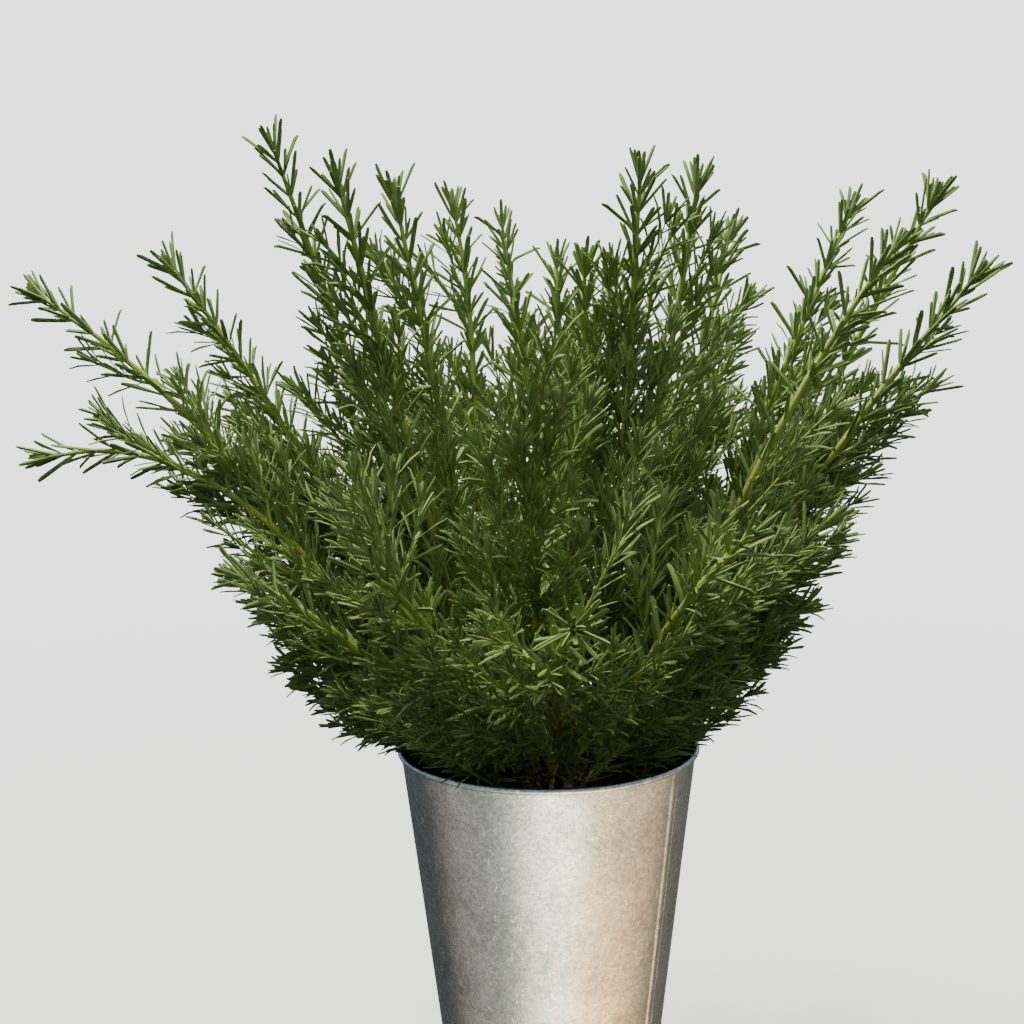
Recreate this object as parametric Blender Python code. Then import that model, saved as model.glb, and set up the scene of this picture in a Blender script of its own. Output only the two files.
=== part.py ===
"""Potted rosemary: a bush of leafy shoots growing in a tall galvanised steel bucket.

Metres, +Z up. The origin is the middle of the bucket's underside, which stands on z = 0.
The bucket is a rolled sheet wall with one folded seam and a wired rim, and a flat base disc.
Potting soil fills it to just under the rim. Each shoot is a square woody stem, planted in its
own socket in the soil, and the leaves that clothe it, which share a thin sheath of leaf bases.
"""

import math
import random

import bmesh
import bpy
import numpy as np
from mathutils import Matrix, Quaternion, Vector

GAP = 0.0003  # left between pieces that touch

# Bucket
BUCKET_HEIGHT = 0.340
WALL_RADIUS_TOP = 0.1158  # outside of the sheet, just under the rolled rim
WALL_RADIUS_BOTTOM = 0.0747
SHEET = 0.0008
ROUND_STEPS = 36
CURL_RADIUS = 0.0014  # middle of the sheet where it rolls round the rim wire
CURL_STEPS = 7
CURL_TURN = math.radians(290)
WIRE_RADIUS = 0.0007
WIRE_SIDES = 6
BASE_THICKNESS = 0.0012
SEAM_ANGLE = math.radians(-36)
SEAM_WIDTH = 0.0090
SEAM_HEIGHT = 0.0008
SEAM_START = 0.004  # how far the seam stays from the wall's lower edge
SEAM_END = 0.334

# Soil
SOIL_EDGE = 0.308  # where the soil meets the wall
SOIL_MOUND = 0.004  # how much higher it is in the middle
SOCKET_DEPTH = 0.022
COLLAR_Z = 0.318  # stems are upright in the soil up to here

# Shoots
STEM_SIDES = 4
STEM_RADIUS_FOOT = 0.0031  # to a corner of the square section
STEM_RADIUS_TIP = 0.0011
WHORL_SPACING = 0.032
SHEATH = 0.0007  # thickness of the leaf bases that clasp the stem
WHORL_HEIGHT = 0.0028
BARE_SHARE = 0.22  # share of a stem, from the soil up, that has no leaves
LEAF_LENGTH = (0.025, 0.036)
LEAF_SPREAD_TOP = math.radians(22)  # angle between a leaf and its stem
LEAF_SPREAD_LOW = math.radians(62)
LEAF_LEAN = (0.75, 1.15)  # share of that angle that a single leaf may take
LEAF_TWIST = (math.radians(8), math.radians(38))  # how far it turns round the stem
LEAF_CLEARANCE = 0.0004
LEAF_TRIES = 5
LEAF_SHORTEN = 0.08  # each new try is this much shorter
LEAF_SEED = 7
SWAY = 0.007  # how far a stem wanders from its plain arc
SECTION_TURN = 0.7  # radians that each stem's square section is turned past the one before
LOWEST_LEAF_Z = BUCKET_HEIGHT + 0.006

# Each shoot: foot x, y on the soil, then tip x, y, z, all in centimetres, then how much the
# shoot arches, as a share of its reach: 0 is straight, more rises first and then leans over.
CM = 0.01
SHOOTS = [
    # left side
    (-6.6, 0.4, -37.4, 0.0, 68.8, 0.18),
    (-6.4, -2.6, -36.0, -4.0, 57.4, 0.36),
    (-5.6, 3.0, -29.0, 6.0, 71.0, 0.10),
    (-4.8, -1.0, -19.8, 0.0, 79.4, 0.05),
    (-3.6, -3.8, -14.4, -6.0, 76.2, 0.00),
    (-2.8, 0.6, -10.8, -0.5, 75.4, 0.05),
    (-5.2, -5.2, -21.4, -10.0, 49.0, 0.18),
    (-4.6, 5.6, -26.0, 13.0, 54.0, 0.20),
    # middle, back to front
    (-2.8, 4.0, -7.0, 13.0, 76.0, 0.10),
    (-0.8, 5.8, -3.0, 20.0, 75.0, 0.10),
    (1.0, 3.0, 1.4, 9.0, 71.0, 0.05),
    (1.2, -0.8, 3.0, -3.4, 70.2, 0.00),
    (-0.4, -4.0, -1.8, -11.0, 66.0, 0.10),
    (3.0, -3.4, 6.8, -6.4, 76.2, 0.00),
    # right side
    (4.2, -0.4, 11.6, 0.0, 76.2, 0.00),
    (3.8, 3.8, 16.0, 13.0, 73.4, 0.10),
    (5.6, 2.0, 24.4, 6.0, 74.6, 0.05),
    (5.2, -2.6, 24.6, -6.0, 71.0, 0.20),
    (6.6, 0.2, 29.2, 0.6, 74.6, 0.00),
    (7.0, -1.8, 31.2, -3.6, 69.0, 0.12),
    (5.2, -5.2, 19.2, -9.6, 52.0, 0.18),
    (6.0, 4.4, 25.0, 13.0, 56.0, 0.20),
    # front, leaning out over the rim
    (-2.6, -6.2, -11.0, -22.0, 51.0, 0.24),
    (0.6, -6.6, 1.0, -23.6, 48.0, 0.24),
    (3.6, -6.2, 12.0, -21.0, 53.0, 0.24),
    # back, leaning away
    (-2.4, 6.8, -14.0, 29.0, 62.0, 0.20),
    (0.8, 7.2, 4.0, 33.0, 66.0, 0.18),
    (3.8, 6.6, 17.0, 27.0, 60.0, 0.20),
]

GALVANISED_STEEL = {"colour": (0.60, 0.61, 0.58), "roughness": 0.34, "metallic": 1.0}
STEEL_WIRE = {"colour": (0.50, 0.51, 0.50), "roughness": 0.40, "metallic": 1.0}
POTTING_SOIL = {"colour": (0.030, 0.018, 0.011), "roughness": 0.95, "metallic": 0.0}
ROSEMARY_STEM = {"colour": (0.275, 0.245, 0.085), "roughness": 0.65, "metallic": 0.0}
ROSEMARY_LEAF = {"colour": (0.060, 0.095, 0.024), "roughness": 0.50, "metallic": 0.0}


def clear_scene():
    for obj in list(bpy.data.objects):
        bpy.data.objects.remove(obj)


def add_object(name, bm, finish):
    """Makes one named object from the bmesh, with a Principled material of its own."""
    mesh = bpy.data.meshes.new(name)
    bm.to_mesh(mesh)
    bm.free()
    obj = bpy.data.objects.new(name, mesh)
    bpy.context.scene.collection.objects.link(obj)
    material = bpy.data.materials.new(name)
    material.use_nodes = True
    shader = material.node_tree.nodes["Principled BSDF"]
    shader.inputs["Base Color"].default_value = (*finish["colour"], 1.0)
    shader.inputs["Roughness"].default_value = finish["roughness"]
    shader.inputs["Metallic"].default_value = finish["metallic"]
    mesh.materials.append(material)
    return obj


# ---------------------------------------------------------------- bucket


def wall_radius(z):
    """Outside of the wall's sheet at this height."""
    share = z / BUCKET_HEIGHT
    return WALL_RADIUS_BOTTOM + (WALL_RADIUS_TOP - WALL_RADIUS_BOTTOM) * share


def spun(bm, outline, closed):
    """Spins an outline of (radius, z) points once round the Z axis into a closed surface."""
    points = [bm.verts.new((radius, 0.0, z)) for radius, z in outline]
    ends = points[1:] + points[:1] if closed else points[1:]
    for start, end in zip(points, ends):
        bm.edges.new((start, end))
    bmesh.ops.spin(
        bm,
        geom=bm.verts[:] + bm.edges[:],
        cent=(0, 0, 0),
        axis=(0, 0, 1),
        angle=math.tau,
        steps=ROUND_STEPS,
        use_merge=True,
    )
    bmesh.ops.remove_doubles(bm, verts=bm.verts[:], dist=1e-6)
    bmesh.ops.recalc_face_normals(bm, faces=bm.faces[:])


def sheet_outline():
    """The wall's sheet in section: straight up, then rolled outwards round the rim wire."""
    half = SHEET / 2
    curl_z = BUCKET_HEIGHT - CURL_RADIUS - half
    top = wall_radius(curl_z) - half
    centre = Vector((top + CURL_RADIUS, curl_z))
    path = [Vector((WALL_RADIUS_BOTTOM - half, 0.0))]
    for step in range(CURL_STEPS + 1):
        angle = math.pi - CURL_TURN * step / CURL_STEPS
        path.append(centre + CURL_RADIUS * Vector((math.cos(angle), math.sin(angle))))
    inner, outer = [], []
    for index, point in enumerate(path):
        before = path[max(index - 1, 0)]
        after = path[min(index + 1, len(path) - 1)]
        along = (after - before).normalized()
        side = Vector((along.y, -along.x)) * half
        outer.append(point + side)
        inner.append(point - side)
    inner[0].y = 0.0
    outer[0].y = 0.0
    return outer + inner[::-1]


def raise_seam(bm):
    """Lifts the folded seam, a narrow upright strip, from the outside of the wall."""
    outwards = Vector((math.cos(SEAM_ANGLE), math.sin(SEAM_ANGLE), 0.0))
    across = Vector((-outwards.y, outwards.x, 0.0))
    cuts = [
        (across * SEAM_WIDTH / 2, across),
        (-across * SEAM_WIDTH / 2, across),
        (Vector((0, 0, SEAM_START)), Vector((0, 0, 1))),
        (Vector((0, 0, SEAM_END)), Vector((0, 0, 1))),
    ]

    def strip_faces(reach):
        """The tall outer wall faces whose middle is within reach of the seam's line."""
        return [
            face
            for face in bm.faces
            if face.normal.dot(outwards) > 0.9
            and face.calc_center_median().dot(outwards) > 0
            and abs(face.calc_center_median().dot(across)) < reach
            and max(edge.calc_length() for edge in face.edges) > BUCKET_HEIGHT / 2
        ]

    for point, normal in cuts:
        faces = strip_faces(2 * SEAM_WIDTH)
        near = {edge for face in faces for edge in face.edges}
        corners = {vert for face in faces for vert in face.verts}
        bmesh.ops.bisect_plane(
            bm,
            geom=faces + list(near) + list(corners),
            dist=1e-6,
            plane_co=point,
            plane_no=normal,
        )
    strip = strip_faces(SEAM_WIDTH / 2)
    grown = bmesh.ops.extrude_face_region(bm, geom=strip)
    bmesh.ops.delete(bm, geom=strip, context="FACES")
    lifted = [item for item in grown["geom"] if isinstance(item, bmesh.types.BMVert)]
    bmesh.ops.translate(bm, verts=lifted, vec=outwards * SEAM_HEIGHT)
    bmesh.ops.recalc_face_normals(bm, faces=bm.faces[:])


def make_bucket_wall():
    bm = bmesh.new()
    spun(bm, sheet_outline(), closed=True)
    raise_seam(bm)
    return add_object("bucket_wall", bm, GALVANISED_STEEL)


def make_rim_wire():
    """The steel wire that the rim is rolled round."""
    half = SHEET / 2
    centre_z = BUCKET_HEIGHT - CURL_RADIUS - half
    centre_r = wall_radius(centre_z) - half + CURL_RADIUS
    outline = []
    for side in range(WIRE_SIDES):
        angle = math.tau * side / WIRE_SIDES
        outline.append(
            (
                centre_r + WIRE_RADIUS * math.cos(angle),
                centre_z + WIRE_RADIUS * math.sin(angle),
            )
        )
    bm = bmesh.new()
    spun(bm, outline, closed=True)
    return add_object("rim_wire", bm, STEEL_WIRE)


def inside_radius(z):
    """Largest radius at this height that keeps the gap to the wall."""
    return wall_radius(z) - SHEET - 2 * GAP


def make_bucket_base():
    radius = inside_radius(0.0)
    bm = bmesh.new()
    outline = [(0, 0), (radius, 0), (radius, BASE_THICKNESS), (0, BASE_THICKNESS)]
    spun(bm, outline, closed=False)
    return add_object("bucket_base", bm, GALVANISED_STEEL)


# ---------------------------------------------------------------- soil


def make_soil(stems):
    """Soil from the base disc to a low mound, with a square socket for each stem."""
    floor = BASE_THICKNESS + GAP
    rim = inside_radius(SOIL_EDGE)
    outline = [
        (0, floor),
        (inside_radius(floor), floor),
        (rim, SOIL_EDGE),
        (0.6 * rim, SOIL_EDGE + 0.8 * SOIL_MOUND),
        (0, SOIL_EDGE + SOIL_MOUND),
    ]
    bm = bmesh.new()
    spun(bm, outline, closed=False)
    soil = add_object("soil", bm, POTTING_SOIL)

    bm = bmesh.new()
    for stem in stems:
        sunk, collar = stem.stations[0], stem.stations[1]
        widen = GAP * math.sqrt(2)
        hole = [
            Station(sunk.point - Vector((0, 0, GAP)), sunk.turn, sunk.radius + widen),
            Station(collar.point, collar.turn, sunk.radius + widen),
        ]
        sweep(bm, hole)
    cutter = add_object("soil_sockets_cutter", bm, POTTING_SOIL)
    cutter.hide_render = True
    cutter.display_type = "WIRE"
    sockets = soil.modifiers.new("sockets", "BOOLEAN")
    sockets.operation = "DIFFERENCE"
    sockets.solver = "EXACT"
    sockets.object = cutter
    return soil


# ---------------------------------------------------------------- shoots


class Station:
    """One place along a stem: its point, the turn of its section and its radius."""

    def __init__(self, point, turn, radius):
        self.point = point
        self.turn = turn
        self.radius = radius

    def matrix(self):
        place = Matrix.Translation(self.point)
        return place @ self.turn.to_matrix().to_4x4() @ Matrix.Scale(self.radius, 4)

    def along(self):
        return self.turn @ Vector((0, 0, 1))

    def shifted(self, distance, thicker):
        """The same section, moved along the stem and grown by this much."""
        point = self.point + self.along() * distance
        return Station(point, self.turn, self.radius + thicker)


class Stem:
    """A stem's centreline, from the bottom of its socket to its tip."""

    def __init__(self, number, foot, tip, arch):
        rise = Vector((0, 0, 1)) * arch * (tip - foot).xy.length
        bend = [foot, foot.lerp(tip, 1 / 3) + rise, foot.lerp(tip, 2 / 3) + rise, tip]
        sideways = (tip - foot).cross(Vector((0, 0, 1))).normalized()
        steps = max(round((tip - foot).length / WHORL_SPACING), 4)
        points = [foot - Vector((0, 0, SOCKET_DEPTH + COLLAR_Z - SOIL_EDGE))]
        for step in range(steps + 1):
            share = step / steps
            sway = math.sin(math.tau * share + number) - math.sin(number)
            wander = sideways * SWAY * share * sway
            points.append(bezier(bend, share) + wander)
        self.stations = []
        turn = Quaternion((0, 0, 1), number * SECTION_TURN)
        for index, point in enumerate(points):
            ahead = points[min(index + 1, len(points) - 1)]
            behind = points[max(index - 1, 0)]
            along = turn @ Vector((0, 0, 1))
            if index > 1:
                turn = along.rotation_difference((ahead - behind).normalized()) @ turn
            share = max(index - 1, 0) / steps
            radius = STEM_RADIUS_FOOT + (STEM_RADIUS_TIP - STEM_RADIUS_FOOT) * share
            self.stations.append(Station(point, turn.copy(), radius))
        self.first_leafy = max(round(BARE_SHARE * steps), 2) + 1
        while self.stations[self.first_leafy].point.z < LOWEST_LEAF_Z:
            self.first_leafy += 1


def bezier(bend, share):
    """Point on the cubic curve through the first and last of these four points."""
    rest = 1 - share
    return (
        bend[0] * rest**3
        + bend[1] * 3 * rest**2 * share
        + bend[2] * 3 * rest * share**2
        + bend[3] * share**3
    )


def sweep(bm, stations):
    """Sweeps a square section through the stations and closes both ends.

    Returns the side faces of each step, in order.
    """
    made = bmesh.ops.create_circle(
        bm, segments=STEM_SIDES, radius=1.0, matrix=stations[0].matrix()
    )
    ring = list({edge for vert in made["verts"] for edge in vert.link_edges})
    first_ring = ring
    sides = []
    for before, after in zip(stations, stations[1:]):
        grown = bmesh.ops.extrude_edge_only(bm, edges=ring)["geom"]
        verts = [item for item in grown if isinstance(item, bmesh.types.BMVert)]
        ring = [item for item in grown if isinstance(item, bmesh.types.BMEdge)]
        ring = [edge for edge in ring if all(vert in verts for vert in edge.verts)]
        sides.append([face for edge in ring for face in edge.link_faces])
        move = after.matrix() @ before.matrix().inverted()
        bmesh.ops.transform(bm, matrix=move, verts=verts)
    bmesh.ops.holes_fill(bm, edges=first_ring, sides=STEM_SIDES)
    bmesh.ops.holes_fill(bm, edges=ring, sides=STEM_SIDES)
    bmesh.ops.recalc_face_normals(bm, faces=bm.faces[:])
    return sides


def make_stem(name, stem):
    bm = bmesh.new()
    sweep(bm, stem.stations)
    return add_object(name, bm, ROSEMARY_STEM)


class Space:
    """The room that is already taken, as straight rods that taper from end to end."""

    def __init__(self):
        self.rods = []

    def add(self, owner, start, end, start_radius, end_radius):
        self.rods.append((owner, *start, *end, start_radius, end_radius))

    def is_free(self, owner, start, end, start_radius, end_radius):
        """Whether a rod keeps clear of every rod that belongs to another owner."""
        rods = np.array([rod[1:] for rod in self.rods if rod[0] != owner])
        if not len(rods):
            return True
        p, d = np.array(start), np.array(end) - np.array(start)
        q, e = rods[:, 0:3], rods[:, 3:6] - rods[:, 0:3]
        apart = p - q
        dd, ee, de = d @ d, (e * e).sum(1), e @ d
        dr, er = apart @ d, (e * apart).sum(1)
        spread = np.maximum(dd * ee - de * de, 1e-16)
        s = np.clip((de * er - ee * dr) / spread, 0, 1)
        t = np.clip((de * s + er) / np.maximum(ee, 1e-16), 0, 1)
        s = np.clip((de * t - dr) / dd, 0, 1)
        near = apart + s[:, None] * d - t[:, None] * e
        room = start_radius + (end_radius - start_radius) * s
        room += rods[:, 6] + (rods[:, 7] - rods[:, 6]) * t
        return bool((np.linalg.norm(near, axis=1) > room + LEAF_CLEARANCE).all())


def sheath_radius(station):
    return station.radius + GAP * math.sqrt(2) + SHEATH


def take_up_stem(space, stem, owner):
    """Marks the room of a stem and its sheath."""
    for before, after in zip(stem.stations, stem.stations[1:]):
        radii = sheath_radius(before), sheath_radius(after)
        space.add(owner, before.point, after.point, *radii)


def make_leaves(name, stem, space, choice):
    """A sheath that closes over the stem's tip, with a leaf drawn out of every whorl face."""
    around = GAP * math.sqrt(2)
    leafy = stem.stations[stem.first_leafy :]
    tip = leafy[-1]
    hollow = [tip.shifted(GAP, around)]
    hollow += [station.shifted(0, around) for station in reversed(leafy[:-1])]
    hollow.append(leafy[0].shifted(-WHORL_HEIGHT, around))
    skin = [hollow[-1].shifted(0, SHEATH)]
    for station in leafy[:-1]:
        skin.append(station.shifted(-WHORL_HEIGHT / 2, around + SHEATH))
        skin.append(station.shifted(WHORL_HEIGHT / 2, around + SHEATH))
    skin.append(tip.shifted(-WHORL_HEIGHT, around + SHEATH))
    skin.append(tip.shifted(WHORL_HEIGHT / 2, around + SHEATH / 2))
    bm = bmesh.new()
    sides = sweep(bm, hollow + skin)
    whorls = sides[len(hollow) + 1 :: 2]
    chosen = []
    for order, (faces, station) in enumerate(zip(whorls, leafy)):
        down = 1 - order / max(len(leafy) - 1, 1)
        for face in faces:
            chosen += leaf_from(face, station, down, order, name, space, choice)
    for face, end in chosen:
        peak = bmesh.ops.poke(bm, faces=[face])["verts"][0]
        peak.co = end
    return add_object(name, bm, ROSEMARY_LEAF)


def leaf_from(face, station, down, order, name, space, choice):
    """Chooses where a leaf's point goes, as [(face, point)], or [] where there is no room."""
    root = face.calc_center_median()
    along = station.along()
    outwards = (root - station.point) - along * (root - station.point).dot(along)
    outwards.normalize()
    half_width = max((vert.co - root).length for vert in face.verts)
    spread = LEAF_SPREAD_TOP + (LEAF_SPREAD_LOW - LEAF_SPREAD_TOP) * math.sqrt(down)
    side = 1 if order % 2 else -1
    for attempt in range(LEAF_TRIES):
        twist = side * choice.uniform(*LEAF_TWIST)
        lean = spread * choice.uniform(*LEAF_LEAN)
        length = choice.uniform(*LEAF_LENGTH) * (1 - LEAF_SHORTEN * attempt)
        away = Quaternion(along, twist) @ outwards
        end = root + (along * math.cos(lean) + away * math.sin(lean)) * length
        over_bucket = end.z > LOWEST_LEAF_Z
        if over_bucket and space.is_free(name, root, end, half_width, 0.0):
            space.add(name, root, end, half_width, 0.0)
            return [(face, end)]
    return []


def main():
    clear_scene()
    make_bucket_wall()
    make_rim_wire()
    make_bucket_base()
    stems = []
    space = Space()
    for number, (fx, fy, tx, ty, tz, arch) in enumerate(SHOOTS, start=1):
        foot = Vector((fx * CM, fy * CM, COLLAR_Z))
        tip = Vector((tx, ty, tz)) * CM
        stem = Stem(number, foot, tip, arch)
        stems.append(stem)
        make_stem(f"stem_{number:02d}", stem)
        take_up_stem(space, stem, f"leaves_{number:02d}")
    make_soil(stems)
    choice = random.Random(LEAF_SEED)
    for number, stem in enumerate(stems, start=1):
        make_leaves(f"leaves_{number:02d}", stem, space, choice)


main()
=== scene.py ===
"""Potted rosemary in a tall galvanised bucket: the fine pieces, their finishes and the studio.

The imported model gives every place. The stems' middle lines are read from its stem nodes, and
the bucket's and soil's sizes from the boxes of their nodes. On those lines the script grows
fine stems, side shoots and some 45,000 curved leaves.
"""

import math
import random

import bmesh
import bpy
import numpy as np
from mathutils import Matrix, Quaternion, Vector, noise


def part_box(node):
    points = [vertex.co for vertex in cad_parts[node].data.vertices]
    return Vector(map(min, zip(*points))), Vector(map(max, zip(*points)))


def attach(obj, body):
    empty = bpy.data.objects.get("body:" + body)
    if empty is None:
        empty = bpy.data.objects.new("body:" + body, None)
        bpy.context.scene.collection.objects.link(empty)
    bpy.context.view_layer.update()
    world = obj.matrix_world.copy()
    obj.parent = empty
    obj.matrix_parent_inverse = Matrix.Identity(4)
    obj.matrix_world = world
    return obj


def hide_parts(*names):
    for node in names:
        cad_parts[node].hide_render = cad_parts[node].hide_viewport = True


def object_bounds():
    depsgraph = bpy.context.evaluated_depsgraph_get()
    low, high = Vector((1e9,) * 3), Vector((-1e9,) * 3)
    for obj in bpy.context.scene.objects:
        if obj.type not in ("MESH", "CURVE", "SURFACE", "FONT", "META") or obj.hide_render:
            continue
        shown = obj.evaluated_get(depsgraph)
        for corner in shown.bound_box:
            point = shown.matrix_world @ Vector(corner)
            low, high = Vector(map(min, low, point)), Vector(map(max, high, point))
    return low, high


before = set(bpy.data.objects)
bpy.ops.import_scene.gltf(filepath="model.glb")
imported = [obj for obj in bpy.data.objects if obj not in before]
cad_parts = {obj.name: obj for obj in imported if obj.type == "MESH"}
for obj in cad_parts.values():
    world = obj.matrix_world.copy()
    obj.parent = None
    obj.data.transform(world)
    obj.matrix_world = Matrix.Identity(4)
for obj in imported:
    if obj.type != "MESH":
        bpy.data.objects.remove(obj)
CAD_LOW, CAD_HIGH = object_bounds()

MM = 0.001
SHOOT_COUNT = sum(name.startswith("stem_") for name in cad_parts)

# ---------------------------------------------------------------- helpers


def linear(code):
    """A colour socket's value from an sRGB hex code."""
    parts = [int(code[index : index + 2], 16) / 255 for index in (1, 3, 5)]
    light = [p / 12.92 if p <= 0.04045 else ((p + 0.055) / 1.055) ** 2.4 for p in parts]
    return (*light, 1.0)


def add(tree, kind, inputs=None, stops=None, **settings):
    """Adds one shader node: its settings, its ramp's stops, and its values or links."""
    node = tree.nodes.new("ShaderNode" + kind)
    for key, value in settings.items():
        setattr(node, key, value)
    if stops:
        elements = node.color_ramp.elements
        while len(elements) < len(stops):
            elements.new(1.0)
        for element, (place, colour) in zip(elements, stops):
            element.position = place
            element.color = linear(colour) if isinstance(colour, str) else (*[colour] * 3, 1)
    for key, value in (inputs or {}).items():
        if isinstance(value, bpy.types.NodeSocket):
            tree.links.new(value, node.inputs[key])
        else:
            node.inputs[key].default_value = value
    return node


def new_material(name):
    """A material with an empty Principled shader, as (material, tree, shader)."""
    material = bpy.data.materials.new(name)
    material.use_nodes = True
    tree = material.node_tree
    return material, tree, tree.nodes["Principled BSDF"]


def smooth(mesh, sharp_above=None):
    """Shades a mesh smooth, but for edges sharper than this angle in degrees."""
    mesh.shade_smooth()
    if sharp_above is not None:
        mesh.set_sharp_from_angle(angle=math.radians(sharp_above))


def finished(bm, name):
    """The modelled shape as a named mesh."""
    mesh = bpy.data.meshes.new(name)
    bm.to_mesh(mesh)
    bm.free()
    return mesh


def points_of(mesh):
    """The mesh's points, a row each."""
    points = np.empty(len(mesh.vertices) * 3)
    mesh.vertices.foreach_get("co", points)
    return points.reshape(-1, 3)


def places_of(mesh):
    """Each face corner's place in the mesh's UV map, a row each."""
    places = np.empty(len(mesh.loops) * 2)
    mesh.uv_layers["OFBake"].uv.foreach_get("vector", places)
    return places.reshape(-1, 2)


def extrude_ring(bm, edges):
    """Extrudes a ring of edges in place, and returns the new ring's edges and points."""
    grown = bmesh.ops.extrude_edge_only(bm, edges=edges)["geom"]
    verts = [item for item in grown if isinstance(item, bmesh.types.BMVert)]
    ring = [
        item
        for item in grown
        if isinstance(item, bmesh.types.BMEdge) and all(vert in verts for vert in item.verts)
    ]
    return ring, verts


def add_piece(name, mesh, material, slot, *nodes):
    """Puts a finished mesh in the scene, riding on the one body, in place of CAD nodes."""
    mesh.materials.append(material)
    piece = bpy.data.objects.new(name, mesh)
    bpy.context.scene.collection.objects.link(piece)
    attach(piece, "root")
    if nodes:
        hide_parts(*nodes)
    return piece


def unit(vectors):
    """Each row made one long."""
    return vectors / np.maximum(np.linalg.norm(vectors, axis=-1, keepdims=True), 1e-12)


# ---------------------------------------------------------------- finishes


def galvanised_steel():
    """Hot-dip galvanised sheet: zinc crystals that each mirror the room a little differently,
    a dull bloom, fine upright scratches from handling, and a few bright nicks."""
    material, tree, shader = new_material("galvanised_sheet_steel")
    place = add(tree, "TexCoord").outputs["Object"]
    # spangle: crystals 2 to 3 mm across
    spangle = add(
        tree, "TexVoronoi", {"Vector": place, "Scale": 430.0, "Randomness": 1.0}, feature="F1"
    )
    tint = add(tree, "SeparateColor", {"Color": spangle.outputs["Color"]})
    # bloom: cloudy patches 20 to 60 mm across
    bloom = add(
        tree, "TexNoise", {"Vector": place, "Scale": 26.0, "Detail": 6.0, "Roughness": 0.62}
    )
    # grain: mottling of 1 mm, drawn coarser than the real zinc grain so that it shows
    grain = add(
        tree, "TexNoise", {"Vector": place, "Scale": 750.0, "Detail": 3.0, "Roughness": 0.75}
    )
    # scratches: long thin upright streaks, 0.4 mm wide
    stretched = add(tree, "Mapping", {"Vector": place, "Scale": (1500.0, 1500.0, 26.0)})
    streak = add(
        tree, "TexNoise", {"Vector": stretched.outputs["Vector"], "Scale": 1.0, "Detail": 2.0}
    )
    scratch = add(
        tree,
        "ValToRGB",
        {"Fac": streak.outputs["Fac"]},
        stops=[(0.0, 0.0), (0.66, 0.0), (0.72, 1.0)],
    )
    # rubs: short curved marks where the bucket knocked against others, 5 mm long
    bent = add(tree, "TexNoise", {"Vector": place, "Scale": 60.0, "Detail": 2.0})
    swayed = add(
        tree, "Mix", {0: 0.012, 4: place, 5: bent.outputs["Color"]}, data_type="VECTOR"
    )
    edge = add(
        tree,
        "TexVoronoi",
        {"Vector": swayed.outputs[1], "Scale": 95.0},
        feature="DISTANCE_TO_EDGE",
    )
    thin = add(
        tree, "MapRange", {0: edge.outputs["Distance"], 1: 0.010, 2: 0.035, 3: 1.0, 4: 0.0}
    )
    where = add(tree, "TexNoise", {"Vector": place, "Scale": 105.0, "Detail": 1.0})
    here = add(tree, "MapRange", {0: where.outputs["Fac"], 1: 0.55, 2: 0.61, 3: 0.0, 4: 1.0})
    rub = add(tree, "Math", {0: thin.outputs[0], 1: here.outputs[0]}, operation="MULTIPLY")
    # nicks: bare bright specks 1 to 2 mm across, a few to a hand's breadth
    nick = add(
        tree, "TexVoronoi", {"Vector": place, "Scale": 42.0, "Randomness": 1.0}, feature="F1"
    )
    nick_spot = add(
        tree,
        "ValToRGB",
        {"Fac": nick.outputs["Distance"]},
        stops=[(0.0, 1.0), (0.030, 1.0), (0.045, 0.0)],
    )
    mixed = 0.0
    for pattern, share in (
        (tint.outputs["Red"], 0.22),
        (bloom.outputs["Fac"], 0.55),
        (grain.outputs["Fac"], 0.55),
    ):
        values = {0: pattern, 1: share, 2: mixed}
        mixed = add(tree, "Math", values, operation="MULTIPLY_ADD").outputs[0]
    zinc = add(
        tree,
        "ValToRGB",
        {"Fac": mixed},
        stops=[(0.42, "#8f928e"), (0.64, "#c2c3bd"), (0.86, "#e2e2db")],
    )
    colour = zinc.outputs["Color"]
    for mask, code in (
        (scratch.outputs["Color"], "#a9aaa4"),
        (rub.outputs[0], "#eeeee6"),
        (nick_spot.outputs["Color"], "#f6f6f0"),
    ):
        values = {0: mask, 6: colour, 7: linear(code)}
        colour = add(tree, "Mix", values, data_type="RGBA").outputs[2]
    tree.links.new(colour, shader.inputs["Base Color"])
    dull = add(tree, "MapRange", {0: mixed, 1: 0.35, 2: 0.9, 3: 0.36, 4: 0.22})
    tree.links.new(dull.outputs[0], shader.inputs["Roughness"])
    shader.inputs["Metallic"].default_value = 1.0
    uneven = add(tree, "Math", {0: rub.outputs[0], 1: 0.5, 2: mixed}, operation="MULTIPLY_ADD")
    bump = add(
        tree, "Bump", {"Height": uneven.outputs[0], "Strength": 0.32, "Distance": 0.0007}
    )
    tree.links.new(bump.outputs["Normal"], shader.inputs["Normal"])
    return material


def rim_steel():
    """Drawn steel wire: dull grey, with a faint mottle of 1 to 2 mm."""
    material, tree, shader = new_material("drawn_steel_wire")
    place = add(tree, "TexCoord").outputs["Object"]
    mottle = add(tree, "TexNoise", {"Vector": place, "Scale": 700.0, "Detail": 4.0})
    grey = add(
        tree,
        "ValToRGB",
        {"Fac": mottle.outputs["Fac"]},
        stops=[(0.3, "#8d8f8e"), (0.7, "#b4b6b4")],
    )
    tree.links.new(grey.outputs["Color"], shader.inputs["Base Color"])
    shader.inputs["Metallic"].default_value = 1.0
    shader.inputs["Roughness"].default_value = 0.42
    return material


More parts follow.
